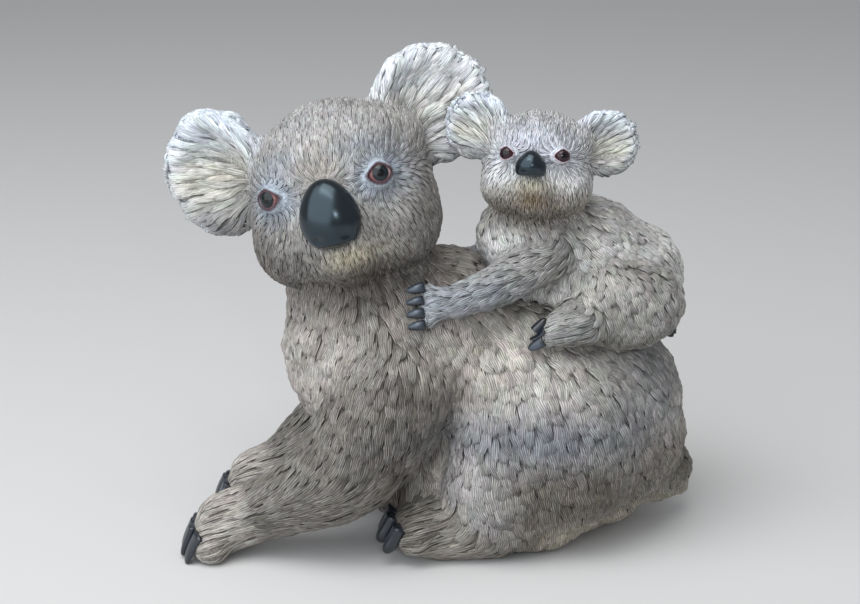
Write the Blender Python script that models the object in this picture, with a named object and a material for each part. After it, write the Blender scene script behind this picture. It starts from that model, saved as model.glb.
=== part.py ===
"""Garden statue of a mother koala with a joey on her back, cast in painted resin.

The mother sits on her haunches facing -Y with both forepaws on the ground, and turns her head to her left,
which is +X.
The joey lies along her back, grips her flanks with hands and feet, and turns its head the same way.
Each named part of the two bodies is one closed solid, modelled whole from lumps that are melted together,
and out to the tips of the carved coat. The two trunks keep their full shape, and each part after them is cut
back from the parts before it, with a gap of GAP between them.
"""

import math
from itertools import product

import bmesh
import bpy
from mathutils import Matrix, Vector
from mathutils.bvhtree import BVHTree

LEFT, RIGHT = 1, -1
SIDE_NAME = {LEFT: "left", RIGHT: "right"}

# Driving dimensions, in metres.
GAP = 0.0003
SHARPEST = 2.5  # how much further than the gap a sharp corner of a cutter may reach
MM = 0.001
GRAIN = 0.0030  # voxel that melts the lumps of a large form together
FINE_GRAIN = 0.0019  # the same for heads, hands and feet

# The broad locks of the mother's coat, in millimetres: how far their tips stand out and lean, how far the
# hollows between them sink, and the least distance from tip to tip.
LOCK_TIP = 1.7
LOCK_LEAN = 1.5
LOCK_HOLLOW = 0.7
LOCK_SPACING = 18
LIE_OF_COAT = Vector((0, 0.67, -0.74))

# Each head's place in millimetres, and its turn to the left, nod and tilt in degrees.
MOTHER_HEAD = {"at": (12, -52.8, 215), "turn": 75, "nod": 10, "tilt": -15.2}
JOEY_HEAD = {"at": (28, 60, 234), "turn": 76, "nod": 13, "tilt": 1}
JOEY_HEAD_SIZE = 0.58  # of the mother's

# Where the mother's forepaws stand, and her hind feet's distance from the middle, in millimetres.
MOTHER_PAW_AT = {LEFT: (30, -127), RIGHT: (-39, -107)}
MOTHER_HINDFOOT_OUT = 47

# Each finish is a colour and a roughness.
FINISHES = {
    "coat_paint": ((0.30, 0.27, 0.24), 0.75),
    "ear_paint": ((0.55, 0.54, 0.53), 0.75),
    "nose_gloss": ((0.012, 0.013, 0.016), 0.15),
    "claw_gloss": ((0.03, 0.035, 0.045), 0.25),
    "eye_gloss": ((0.05, 0.03, 0.025), 0.1),
}


# ---------------------------------------------------------------- workshop


def clear_scene():
    for obj in list(bpy.data.objects):
        bpy.data.objects.remove(obj, do_unlink=True)


def paint(name):
    """The Principled material of a finish, made once."""
    material = bpy.data.materials.get(name)
    if material is None:
        colour, roughness = FINISHES[name]
        material = bpy.data.materials.new(name)
        material.use_nodes = True
        shader = material.node_tree.nodes["Principled BSDF"]
        shader.inputs["Base Color"].default_value = (*colour, 1)
        shader.inputs["Roughness"].default_value = roughness
        shader.inputs["Metallic"].default_value = 0
        material.diffuse_color = (*colour, 1)
    return material


def evaluated_mesh(obj):
    """The object's mesh with its modifiers applied."""
    bpy.context.view_layer.update()
    graph = bpy.context.evaluated_depsgraph_get()
    return bpy.data.meshes.new_from_object(obj.evaluated_get(graph))


def settle(obj):
    """Applies the object's modifiers."""
    mesh = evaluated_mesh(obj)
    obj.modifiers.clear()
    obj.data = mesh


def new_object(name, bm):
    mesh = bpy.data.meshes.new(name)
    bm.to_mesh(mesh)
    bm.free()
    obj = bpy.data.objects.new(name, mesh)
    bpy.context.scene.collection.objects.link(obj)
    return obj


def facing(at, turn, nod, tilt):
    """The frame of a head: -Y looks out of the face, +X is the animal's left, sizes in it are millimetres."""
    spin = (
        Matrix.Rotation(math.radians(turn), 4, "Z")
        @ Matrix.Rotation(math.radians(-nod), 4, "X")
        @ Matrix.Rotation(math.radians(tilt), 4, "Y")
    )
    return Matrix.Translation(Vector(at) * MM) @ spin @ Matrix.Scale(MM, 4)


BODY_FRAME = Matrix.Scale(MM, 4)


def ball(centre, radii):
    """An ellipsoid in millimetres, as the matrix that makes it from a unit ball."""
    if isinstance(radii, (int, float)):
        radii = (radii, radii, radii)
    return Matrix.Translation(centre) @ Matrix.Diagonal((*radii, 1))


def limb(*joints):
    """Balls along a smooth curve through the joints, each (x, y, z, radius), that make one tapering form."""
    ends = [joints[0], *joints, joints[-1]]
    balls = []
    for before, start, end, after in zip(ends, ends[1:], ends[2:], ends[3:]):
        length = math.dist(start[:3], end[:3])
        steps = max(2, math.ceil(length / (0.3 * min(start[3], end[3]))))
        for step in range(steps + 1):
            t = step / steps
            weights = (
                (-t + 2 * t * t - t**3) / 2,
                (2 - 5 * t * t + 3 * t**3) / 2,
                (t + 4 * t * t - 3 * t**3) / 2,
                (t**3 - t * t) / 2,
            )
            x, y, z, radius = (
                sum(w * p[i] for w, p in zip(weights, (before, start, end, after)))
                for i in range(4)
            )
            balls.append(ball((x, y, z), radius))
    return balls


def melt(name, lumps, faces, frame=BODY_FRAME, grain=GRAIN, soften=9, finish="coat_paint"):
    """One form: the lumps run together, soften, and end as a closed mesh of about faces triangles."""
    bm = bmesh.new()
    for matrix in lumps:
        bmesh.ops.create_icosphere(bm, subdivisions=3, radius=1, matrix=frame @ matrix)
    obj = new_object(name, bm)
    remesh = obj.modifiers.new("melt", "REMESH")
    remesh.mode = "VOXEL"
    remesh.voxel_size = grain
    smooth = obj.modifiers.new("soften", "SMOOTH")
    smooth.factor = 0.5
    smooth.iterations = soften
    settle(obj)
    triangles = sum(len(polygon.vertices) - 2 for polygon in obj.data.polygons)
    thin = obj.modifiers.new("facet", "DECIMATE")
    thin.ratio = min(1, faces / triangles)
    settle(obj)
    return finished(obj, finish)


def draw_out_locks(obj):
    """Draws corners of the facets out into tips of broad locks, lying down and back, and sinks the rest."""
    tips = []
    for vertex in sorted(obj.data.vertices, key=lambda v: v.co.dot(LIE_OF_COAT)):
        if any((vertex.co - tip).length < LOCK_SPACING * MM for tip in tips):
            vertex.co -= vertex.normal * LOCK_HOLLOW * MM
            continue
        tips.append(vertex.co.copy())
        lean = LIE_OF_COAT - vertex.normal * LIE_OF_COAT.dot(vertex.normal)
        vertex.co += (vertex.normal * LOCK_TIP + lean * LOCK_LEAN) * MM
    return obj


def finished(obj, finish):
    obj.data.materials.clear()
    obj.data.materials.append(paint(finish))
    obj.data.shade_smooth()
    return obj


def press_flat(obj):
    """Cuts off level whatever the lumps of the object reach below the floor."""
    bm = bmesh.new()
    bm.from_mesh(obj.data)
    if min(v.co.z for v in bm.verts) < 0:
        cut = bmesh.ops.bisect_plane(
            bm,
            geom=bm.verts[:] + bm.edges[:] + bm.faces[:],
            dist=1e-6,
            plane_co=(0, 0, 0),
            plane_no=(0, 0, -1),
            clear_outer=True,
        )
        rim = [e for e in cut["geom_cut"] if isinstance(e, bmesh.types.BMEdge)]
        if rim:
            bmesh.ops.holes_fill(bm, edges=rim, sides=0)
            bmesh.ops.triangulate(bm, faces=[f for f in bm.faces if len(f.verts) > 4])
    bm.to_mesh(obj.data)
    bm.free()


def surface(obj, grow=0):
    """The object's surface as a new mesh, with every face moved out by grow."""
    bm = bmesh.new()
    bm.from_mesh(obj.data)
    bm.normal_update()
    moved = [v.co + v.normal * grow * min(SHARPEST, v.calc_shell_factor()) for v in bm.verts]
    for vert, place in zip(bm.verts, moved):
        vert.co = place
    return bm


def meets(first, second):
    """True if the surfaces of two bmeshes cross. Frees both."""
    crossings = BVHTree.FromBMesh(first).overlap(BVHTree.FromBMesh(second))
    first.free()
    second.free()
    return bool(crossings)


def carve(target, tool):
    """Hollows the target so that the tool fits in it with a gap all round, wider where facets still meet."""
    whole = target.data
    for gap, solver in product((GAP, 1.5 * GAP, 2 * GAP, 3 * GAP), ("EXACT", "MANIFOLD")):
        cutter = new_object("cutter", surface(tool, gap))
        target.data = whole.copy()
        cut = target.modifiers.new("carve", "BOOLEAN")
        cut.operation = "DIFFERENCE"
        cut.solver = solver
        cut.object = cutter
        settle(target)
        bpy.data.objects.remove(cutter, do_unlink=True)
        drop_offcuts(target)
        if target.data.polygons and not meets(surface(target), surface(tool, GAP / 3)):
            return
    raise ValueError(f"{target.name} can't be cleared of {tool.name}")


def drop_offcuts(obj):
    """Keeps the largest of the closed bodies in the object's mesh."""
    bm = bmesh.new()
    bm.from_mesh(obj.data)
    waiting = set(bm.faces)
    bodies = []
    while waiting:
        front = [waiting.pop()]
        body = list(front)
        while front:
            near = {other for edge in front.pop().edges for other in edge.link_faces} & waiting
            waiting -= near
            front += near
            body += near
        bodies.append(body)
    bodies.sort(key=lambda faces: sum(face.calc_area() for face in faces))
    for body in bodies[:-1]:
        bmesh.ops.delete(bm, geom=body, context="FACES")
    bmesh.ops.delete(bm, geom=[v for v in bm.verts if not v.link_faces], context="VERTS")
    bm.to_mesh(obj.data)
    bm.free()


def centre_on_floor(pieces):
    """Moves everything so that the middle of the overall box stands over the origin."""
    corners = [v.co for piece in pieces for v in piece.data.vertices]
    middle = [(min(c[i] for c in corners) + max(c[i] for c in corners)) / 2 for i in range(2)]
    shift = Matrix.Translation((-middle[0], -middle[1], -min(c[2] for c in corners)))
    for piece in pieces:
        piece.data.transform(shift)


# ---------------------------------------------------------------- heads


def head(owner, frame, size, faces):
    """Skull, cheeks, brow, muzzle and chin. The lumps are laid out for the mother's head, scaled by size."""
    lumps = [
        ball((0, 6, 9), (55, 47, 50)),
        ball((0, -2, -8), (57, 44, 40)),
        ball((0, -22, 10), (40, 26, 34)),
        ball((0, -30, -16), (27, 26, 26)),
        ball((0, -28, -35), (20, 18, 16)),
        ball((0, 4, -26), (48, 38, 30)),
    ]
    for side in (LEFT, RIGHT):
        lumps += [
            ball((side * 28, -6, -18), (29, 34, 30)),
            ball((side * 36, 8, 26), (19, 21, 21)),
        ]
    grain = FINE_GRAIN * (0.8 + 0.4 * size)
    return melt(owner + "_head", lumps, faces, frame @ Matrix.Scale(size, 4), grain, 14)


def eye(owner, side, frame, centre, radius):
    """A glass-like ball set deep behind the brow."""
    bm = bmesh.new()
    x, y, z = centre
    place = frame @ Matrix.Translation((side * x, y, z)) @ Matrix.Rotation(math.radians(90), 4, "X")
    bmesh.ops.create_uvsphere(bm, u_segments=8, v_segments=6, radius=radius, matrix=place)
    return finished(new_object(f"{owner}_eye_{SIDE_NAME[side]}", bm), "eye_gloss")


def nose(owner, frame, centre, radii, faces):
    """The bare leathery pad: an egg with its broad end down, flattened underneath."""
    x, y, z = centre
    rx, ry, rz = radii
    lumps = [
        ball((x, y, z - 0.16 * rz), (rx, ry, 0.80 * rz)),
        ball((x, y + 0.06 * ry, z + 0.30 * rz), (0.78 * rx, 0.92 * ry, 0.70 * rz)),
    ]
    return melt(owner + "_nose", lumps, faces, frame, FINE_GRAIN * 0.8, 4, "nose_gloss")


def ear(owner, side, frame, centre, radius, faces, spread=12, lean=0, droop=0):
    """A round dish with a thick rim, hollow in front.

    spread, lean and droop turn it about Z, X and Y, in degrees.
    """
    x, y, z = centre
    aim = (
        frame
        @ Matrix.Translation((side * x, y, z))
        @ Matrix.Rotation(math.radians(side * droop), 4, "Y")
        @ Matrix.Rotation(math.radians(side * spread), 4, "Z")
        @ Matrix.Rotation(math.radians(lean), 4, "X")
    )
    floor, rim = 0.80 * radius, 0.20 * radius
    lumps = [ball((0, 0.30 * radius, 0), (floor, 0.17 * radius, floor))]
    count = 20
    for step in range(count):
        angle = 2 * math.pi * step / count
        x, z = math.cos(angle), math.sin(angle)
        lumps.append(ball((floor * x, 0.04 * radius, floor * z), (rim, 0.17 * radius, rim)))
        lumps.append(ball((0.62 * radius * x, 0.22 * radius, 0.62 * radius * z), 0.16 * radius))
    return melt(f"{owner}_ear_{SIDE_NAME[side]}", lumps, faces, aim, FINE_GRAIN, 5, "ear_paint")


# ---------------------------------------------------------------- limbs


def claw(name, root, tip, radius, outward):
    """A blunt horn that stays broad from root to shoulder and bows away from the paw, towards outward."""
    sides, shoulder, bow, depth = 5, 0.70, 0.16, 1.1
    root, tip, outward = Vector(root), Vector(tip), Vector(outward)
    along = tip - root
    across = along.cross(outward).normalized()
    up = across.cross(along).normalized()
    bm = bmesh.new()
    loops = []
    for t in (0, shoulder):
        centre = root.lerp(tip, t) + up * along.length * bow * math.sin(math.pi * t)
        reach = radius * math.sqrt(1 - t**4)
        loops.append([])
        for k in range(sides):
            angle = 2 * math.pi * k / sides
            point = centre + across * reach * math.cos(angle) + up * reach * depth * math.sin(angle)
            loops[-1].append(bm.verts.new(point * MM))
    point = bm.verts.new(tip * MM)
    for near, far in zip(loops, loops[1:]):
        for k in range(sides):
            bm.faces.new((near[k], near[(k + 1) % sides], far[(k + 1) % sides], far[k]))
    for k in range(sides):
        bm.faces.new((loops[-1][k], loops[-1][(k + 1) % sides], point))
    bm.faces.new(loops[0])
    bmesh.ops.recalc_face_normals(bm, faces=bm.faces)
    return finished(new_object(name, bm), "claw_gloss")


def clawed_foot(owner, kind, side, heel, sole, row, point, across, span, toe, nail, faces):
    """A paw and its claws.

    heel and sole are (x, y, z, radius). The toes end in a row of that span about row, laid out along across,
    and the middle ones reach further towards point. toe holds their count, radius and that reach. nail holds
    a claw's length, radius, the lift of its root above the toe's middle, and the direction of its tip.
    """
    stem = f"{owner}_{kind}_{SIDE_NAME[side]}"
    row, point, across = Vector(row), Vector(point).normalized(), Vector(across).normalized()
    back = across.cross(point).normalized()
    if back.dot(Vector((0.5 * side, 0, 1))) < 0:
        back = -back
    toe_start = Vector(sole[:3]).lerp(row, 0.3)
    lumps = limb(heel, sole)
    tips = []
    for k in range(toe["count"]):
        t = 2 * k / (toe["count"] - 1) - 1
        tips.append(row + across * t * span / 2 + (point + back * 0.5) * toe["reach"] * (1 - t * t))
        lumps += limb((*toe_start, toe["radius"] * 1.1), (*tips[-1], toe["radius"]))
    made = [melt(stem, lumps, faces, BODY_FRAME, FINE_GRAIN, 4)]
    aim = Vector(nail["aim"]).normalized() * nail["length"]
    for number, end in enumerate(tips, 1):
        root = end + point * toe["radius"] * 0.5 + back * nail["lift"]
        made.append(claw(f"{stem}_claw_{number}", root, root + aim, nail["radius"], back + point))
    return made


# ---------------------------------------------------------------- mother


def mother_head_parts():
    frame = facing(**MOTHER_HEAD)
    eyes = [eye("mother", side, frame, (31.5, -36.5, 9), 8.5) for side in (LEFT, RIGHT)]
    pad = nose("mother", frame, (1.4, -53, -7.4), (18, 12, 21), 110)
    skull = head("mother", frame, 1, 430)
    ears = [
        ear("mother", LEFT, frame, (61, 17, 41), 37, 200, spread=14, lean=4, droop=-10),
        ear("mother", RIGHT, frame, (72, 8, 31), 40, 200, spread=26, droop=8),
    ]
    return eyes, pad, skull, ears


def mother_trunk():
    form = melt(
        "mother_trunk",
        [
            ball((0, -29, 118), (62, 60, 62)),
            ball((0, -35, 152), (50, 53, 42)),
            ball((0, 4, 136), (60, 54, 42)),
            ball((0, 46, 100), (67, 62, 61)),
            ball((0, 84, 82), (66, 73, 54)),
            ball((0, 89, 58), (65, 71, 50)),
            ball((0, 84, 34), (52, 60, 36)),
            ball((0, 10, 40), (46, 58, 38)),
        ],
        1140,
        soften=14,
    )
    return draw_out_locks(form)


def mother_foreleg(side, wrist, elbow):
    x, y = MOTHER_PAW_AT[side]
    shoulder = (side * 40, -26, 106, 39)
    return melt(f"mother_foreleg_{SIDE_NAME[side]}", limb((x, y + 18, 27, 19), wrist, elbow, shoulder), 160)


def mother_forepaw(side):
    """Four toes, with long claws that hook steeply down to the ground. The heel is raised."""
    x, y = MOTHER_PAW_AT[side]
    return clawed_foot(
        "mother", "forepaw", side,
        heel=(x, y + 20, 27, 19), sole=(x, y, 20, 18.5),
        row=(x, y - 9, 9.5), point=(0, -1, 0), across=(1, 0, 0), span=27,
        toe={"count": 4, "radius": 11, "reach": 2},
        nail={"length": 20, "radius": 4, "lift": 7.8, "aim": (0, -0.50, -0.86)},
        faces=130,
    )


def mother_haunch(side):
    return melt(
        f"mother_haunch_{SIDE_NAME[side]}",
        [
            ball((side * 46, 66, 69), (35, 60, 61)),
            ball((side * 50, 44, 44), (28, 42, 42)),
            ball((side * 42, 60, 34), (27, 36, 36)),
        ],
        190,
        soften=14,
    )


def mother_hindfoot(side):
    """Three broad toes under a thick instep."""
    x = side * MOTHER_HINDFOOT_OUT
    return clawed_foot(
        "mother", "hindfoot", side,
        heel=(x, 34, 21, 22), sole=(x, 0, 18, 20),
        row=(x, -15, 18), point=(0, -1, 0), across=(1, 0, 0), span=27,
        toe={"count": 3, "radius": 12, "reach": 2.5},
        nail={"length": 18, "radius": 6, "lift": 4, "aim": (0, -0.68, -0.72)},
        faces=120,
    )


def mother_tail():
    """The swell at the end of the spine, and the short stub under it."""
    swell = limb((0, 140, 32, 22), (0, 150, 33, 17))
    stub = limb((0, 140, 19, 9), (-3, 161, 17, 6))
    return melt("mother_tail", swell + stub, 84)


# ---------------------------------------------------------------- joey


def joey_head_parts():
    frame = facing(**JOEY_HEAD)
    eyes = [eye("joey", side, frame, (15.3, -24.5, 6.8), 5) for side in (LEFT, RIGHT)]
    pad = nose("joey", frame, (-1.3, -32, 1.2), (9.9, 7.5, 8.1), 70)
    skull = head("joey", frame, JOEY_HEAD_SIZE, 220)
    ears = [
        ear("joey", LEFT, frame, (37.5, 4, 15.5), 20.5, 120),
        ear("joey", RIGHT, frame, (36, 0, 22), 21, 120),
    ]
    return eyes, pad, skull, ears


def joey_trunk():
    return melt(
        "joey_trunk",
        [
            ball((14, 61, 190), (30, 36, 31)),
            ball((4, 90, 178), (38, 41, 33)),
            ball((0, 114, 160), (38, 42, 35)),
            ball((2, 72, 160), (36, 40, 25)),
        ],
        210,
        soften=12,
    )


def joey_foreleg(side, shoulder, elbow, wrist):
    return melt(f"joey_foreleg_{SIDE_NAME[side]}", limb(shoulder, elbow, wrist), 90, grain=FINE_GRAIN)


def joey_forepaw(side, x, z):
    """The hand lies flat on the mother's flank, with its four fingers one above another."""
    return clawed_foot(
        "joey", "forepaw", side,
        heel=(x - side * 2, 12, z + 1, 9.5), sole=(x, -1, z, 9),
        row=(x + side, -7, z - 0.5), point=(0, -1, -0.05), across=(side * -0.3, 0, 1), span=21,
        toe={"count": 4, "radius": 4.2, "reach": 0.6},
        nail={"length": 10.5, "radius": 2.6, "lift": 1.2, "aim": (0, -1, -0.15)},
        faces=105,
    )


def joey_haunch(side):
    thigh = ball((side * 38, 112, 152), (20, 37, 28))
    knee = ball((side * 46, 90, 147), (15, 24, 17))
    return melt(f"joey_haunch_{SIDE_NAME[side]}", [thigh, knee], 100, grain=FINE_GRAIN)


def joey_hindfeet():
    """The left foot grips the mother's side, and the right one has slipped back over her rump."""
    toe = {"count": 3, "radius": 5.4, "reach": 0.6}
    nail = {"length": 10, "radius": 2.9, "lift": 1.5}
    left = clawed_foot(
        "joey", "hindfoot", LEFT,
        heel=(54, 84, 145, 12), sole=(56, 71, 143.5, 10),
        row=(57, 64, 143), point=(0, -1, -0.1), across=(-0.4, 0.3, 1), span=12,
        toe=toe, nail={**nail, "aim": (0, -1, -0.5)}, faces=100,
    )
    right = clawed_foot(
        "joey", "hindfoot", RIGHT,
        heel=(-34, 132, 130, 12), sole=(-24, 141, 123, 10),
        row=(-19, 145, 120), point=(0.4, 1, -0.3), across=(1, -0.4, 0), span=12,
        toe=toe, nail={**nail, "aim": (0.35, 1, -0.7)}, faces=100,
    )
    return left + right


# ---------------------------------------------------------------- assembly


def build():
    clear_scene()
    mother_eyes, mother_pad, mother_skull, mother_ears = mother_head_parts()
    joey_eyes, joey_pad, joey_skull, joey_ears = joey_head_parts()
    order = [*mother_eyes, *joey_eyes, mother_pad, joey_pad, mother_trunk(), joey_trunk()]
    order += [joey_skull, mother_skull, *joey_ears, *mother_ears]
    order += [mother_haunch(side) for side in (LEFT, RIGHT)]
    order.append(mother_foreleg(LEFT, wrist=(38, -88, 37, 22), elbow=(46, -53, 60, 31)))
    order.append(mother_foreleg(RIGHT, wrist=(-43, -77, 35, 22), elbow=(-45, -47, 60, 30)))
    order += [joey_haunch(side) for side in (LEFT, RIGHT)]
    left_arm = (28, 68, 184, 18), (48, 36, 170, 13), (54, 12, 163, 10)
    right_arm = (-26, 66, 178, 16), (-45, 40, 158, 12), (-52, 13, 152, 10)
    order += [joey_foreleg(LEFT, *left_arm), joey_foreleg(RIGHT, *right_arm)]
    order += mother_forepaw(LEFT) + mother_forepaw(RIGHT)
    order += mother_hindfoot(LEFT) + mother_hindfoot(RIGHT)
    order += joey_forepaw(LEFT, 56, 161) + joey_forepaw(RIGHT, -54, 151)
    order += joey_hindfeet()
    order.append(mother_tail())
    for place, piece in enumerate(order):
        press_flat(piece)
        for earlier in order[:place]:
            if meets(surface(piece), surface(earlier, GAP)):
                carve(piece, earlier)
    centre_on_floor(order)


build()
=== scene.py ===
import math
import bmesh
import bpy
import numpy as np
from mathutils import Matrix, Vector
from mathutils.bvhtree import BVHTree
from mathutils.kdtree import KDTree


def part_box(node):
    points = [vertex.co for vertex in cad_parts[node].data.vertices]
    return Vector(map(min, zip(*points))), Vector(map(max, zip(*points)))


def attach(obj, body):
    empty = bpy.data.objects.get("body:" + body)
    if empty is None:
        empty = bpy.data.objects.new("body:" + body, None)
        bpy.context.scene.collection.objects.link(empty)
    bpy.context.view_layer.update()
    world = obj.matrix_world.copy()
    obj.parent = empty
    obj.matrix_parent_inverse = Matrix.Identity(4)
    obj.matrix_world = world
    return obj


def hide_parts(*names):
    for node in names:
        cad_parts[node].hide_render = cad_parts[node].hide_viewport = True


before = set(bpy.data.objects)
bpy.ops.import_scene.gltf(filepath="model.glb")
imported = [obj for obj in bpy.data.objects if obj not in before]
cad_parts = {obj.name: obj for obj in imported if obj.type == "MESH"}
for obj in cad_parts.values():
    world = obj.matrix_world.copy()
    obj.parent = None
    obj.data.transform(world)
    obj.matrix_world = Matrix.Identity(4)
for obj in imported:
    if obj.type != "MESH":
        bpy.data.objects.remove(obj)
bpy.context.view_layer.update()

# -------- how the two heads are set
# Each head is modelled on its own axes: x to the animal's left, -y the way the face looks, z up.
# They are found from where its eyes and its nose sit in the casting.


def middle(node):
    low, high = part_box(node)
    return (Vector(low) + Vector(high)) / 2


def head_axes(owner, nose_drop, eye_forward, eye_up):
    """nose_drop is how far below straight ahead the nose lies from between the eyes, in degrees."""
    left, right = middle(owner + "_eye_left"), middle(owner + "_eye_right")
    brow = (left + right) / 2
    sideways = (left - right).normalized()
    to_nose = middle(owner + "_nose") - brow
    to_nose = (to_nose - sideways * to_nose.dot(sideways)).normalized()
    ahead = Matrix.Rotation(-math.radians(nose_drop), 3, sideways) @ to_nose
    upward = ahead.cross(sideways)
    turned = Matrix((sideways, -ahead, upward)).transposed()
    return Matrix.Translation(brow - turned @ Vector((0, -eye_forward, eye_up))) @ turned.to_4x4()


face_axes = {
    "mother": head_axes("mother", nose_drop=44.8, eye_forward=0.0365, eye_up=0.009),
    "joey": head_axes("joey", nose_drop=36.75, eye_forward=0.0245, eye_up=0.0068),
}


def on_axes(axes, points):
    """Points of the statue, as (n, 3), turned into a head's own axes."""
    back = np.array(axes.inverted())
    return points @ back[:3, :3].T + back[:3, 3]


# -------- the cast bodies
# The statue is one hollow resin casting. Mother and joey are each one skin here, fused from the named parts
# of the body and sunk below them by the depth of the carved coat. Lids, lips and the folds of the face are
# carved into it.


def flesh_of(owner):
    bare = ("_eye_", "_nose", "_claw_")
    return sorted(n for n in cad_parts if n.startswith(owner + "_") and not any(b in n for b in bare))


def read(items, field, columns=3, kind=float):
    """A field of all those vertices, edges or triangles, one row for each."""
    values = np.empty(len(items) * columns, dtype=kind)
    items.foreach_get(field, values)
    return values.reshape(-1, columns)


def triangles_of(mesh):
    mesh.calc_loop_triangles()
    return read(mesh.loop_triangles, "vertices", kind=np.int32)


def unit(vectors):
    return vectors / np.maximum(np.linalg.norm(vectors, axis=-1, keepdims=True), 1e-12)


def smooth_step(low, high, value):
    t = np.clip((value - low) / (high - low), 0, 1)
    return t * t * (3 - 2 * t)


def blurred(values, edges, rounds):
    """Values on the vertices, averaged with their neighbours' so that nothing changes abruptly."""
    values = np.array(values, dtype=float)
    flat = values.reshape(len(values), -1)
    count = np.maximum(np.bincount(edges.ravel(), minlength=len(flat)), 1)
    for _ in range(rounds):
        for column in range(flat.shape[1]):
            near = np.bincount(edges[:, 0], flat[edges[:, 1], column], len(flat))
            near += np.bincount(edges[:, 1], flat[edges[:, 0], column], len(flat))
            flat[:, column] = (flat[:, column] + near / count) / 2
    return flat.reshape(values.shape)


def fused(name, nodes, grain, smoothing):
    """One closed mesh over all those nodes, with no seam where they meet."""
    bm = bmesh.new()
    for node in nodes:
        bm.from_mesh(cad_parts[node].data)
    bmesh.ops.remove_doubles(bm, verts=bm.verts, dist=1e-6)
    bm.normal_update()
    across_gap = 0.0004
    for vert in bm.verts:
        vert.co += vert.normal * across_gap
    mesh = bpy.data.meshes.new(name)
    bm.to_mesh(mesh)
    bm.free()
    obj = bpy.data.objects.new(name, mesh)
    bpy.context.scene.collection.objects.link(obj)
    remesh = obj.modifiers.new("cast", "REMESH")
    remesh.mode = "VOXEL"
    remesh.voxel_size = grain
    smooth = obj.modifiers.new("smooth", "SMOOTH")
    smooth.factor = 0.5
    smooth.iterations = smoothing
    seen = obj.evaluated_get(bpy.context.evaluated_depsgraph_get())
    obj.data = bpy.data.meshes.new_from_object(seen)
    obj.modifiers.clear()
    return obj


def made_finer(obj, spots):
    """Splits the skin's faces once more round each (centre, radius), for the fine work of a face."""
    bm = bmesh.new()
    bm.from_mesh(obj.data)
    for centre, radius in spots:
        near = [f for f in bm.faces if (f.calc_center_median() - centre).length < radius]
        edges = {edge for face in near for edge in face.edges}
        bmesh.ops.subdivide_edges(bm, edges=list(edges), cuts=1, use_grid_fill=True)
    bm.to_mesh(obj.data)
    bm.free()


def nearest_part(points, nodes):
    """The number in nodes of the body part that each point lies on."""
    corners, faces, owner = [], [], []
    for number, node in enumerate(nodes):
        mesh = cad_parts[node].data
        start = sum(len(c) for c in corners)
        corners.append(read(mesh.vertices, "co"))
        tris = triangles_of(mesh)
        faces.append(tris + start)
        owner += [number] * len(tris)
    tree = BVHTree.FromPolygons(np.concatenate(corners).tolist(), np.concatenate(faces).tolist())
    return np.array([owner[tree.find_nearest(p)[2]] for p in points.tolist()])


def eye_opening(eye, points):
    """Each point's place across, up and out from an eye, q (0 mid-opening, 1 on its edge), and the gaze."""
    axes, side = eye["axes"], eye["side"]
    local = on_axes(axes, points) - on_axes(axes, eye["centre"])
    gaze = unit(np.array([side * eye["gaze_out"], -1.0, eye["gaze_up"]]))
    across = unit(np.cross([0.0, 0.0, 1.0], gaze)) * -side
    upright = np.cross(gaze, across) * -side
    u, v, w = local @ across, local @ upright, local @ gaze
    power = np.where(v > 0, 1.35, 1.75)
    q = (np.abs(u / eye["half_width"]) ** power + np.abs(v / eye["half_height"]) ** power) ** (1 / power)
    return u, v, w, q, np.array(axes)[:3, :3] @ gaze


def carve_lids(points, eye):
    """Rolls the skin over the ball in two lids with a fold behind them, and sinks it behind the opening."""
    u, v, w, q, gaze = eye_opening(eye, points)
    radius, lid = eye["radius"], eye["lid"]
    flat = u**2 + v**2
    ball = np.sqrt(np.maximum(radius**2 - flat, 0))
    over = np.sqrt(np.maximum((radius + lid) ** 2 - flat, 0))
    near = (w > -0.2 * radius) & (q < 2.6) & (flat < (2.1 * radius) ** 2)
    rim = np.maximum(over, 0.35 * radius)
    blend = smooth_step(1.15, 2.1, q)
    outside = rim * (1 - blend) + np.maximum(w, 0) * blend
    outside -= eye["fold"] * np.exp(-(((q - 1.75) / 0.22) ** 2))
    wanted = np.where(q < 1, ball - 0.25 * radius, outside)
    points[near] += ((wanted - w)[near])[:, None] * gaze
    return points


# The gaze turns out by a different share on the left and on the right. Each ring of paint fades in between
# two angles from the middle of the pupil, in degrees.
eye_shapes = {
    "mother": dict(
        gaze_out=(0.30, 0.40), gaze_up=0.02, half_width=0.0071, half_height=0.0058, lid=0.0011, fold=0.0010,
        white="c4aeb2", corner="7d4038", edge="55323a", lid_line="4a2c33",
        rings=((38, 35, "4c3238"), (36, 33, "0d1416"), (28, 23, "18262d"), (19, 15, "040608")),
    ),
    "joey": dict(
        gaze_out=(0.34, 0.38), gaze_up=0.10, half_width=0.0048, half_height=0.0037, lid=0.0007, fold=0.0004,
        white="3c2028", corner="3a1c24", edge="2e161d", lid_line="cbb6be",
        rings=((58, 50, "38202a"), (40, 34, "24131b"), (24, 18, "0a0508")),
    ),
}
eyes = {}
for owner, shape in eye_shapes.items():
    eyes[owner] = []
    for word, side in (("left", 1), ("right", -1)):
        node = f"{owner}_eye_{word}"
        low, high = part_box(node)
        eyes[owner].append(dict(
            shape, node=node, centre=np.array(middle(node)), radius=(high[2] - low[2]) / 2,
            axes=face_axes[owner], side=side, gaze_out=shape["gaze_out"][side < 0],
        ))


def bump(points, centre, reach):
    """1 at centre, fading out over reach."""
    return np.exp(-(((points - centre) / reach) ** 2).sum(axis=1))


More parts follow.
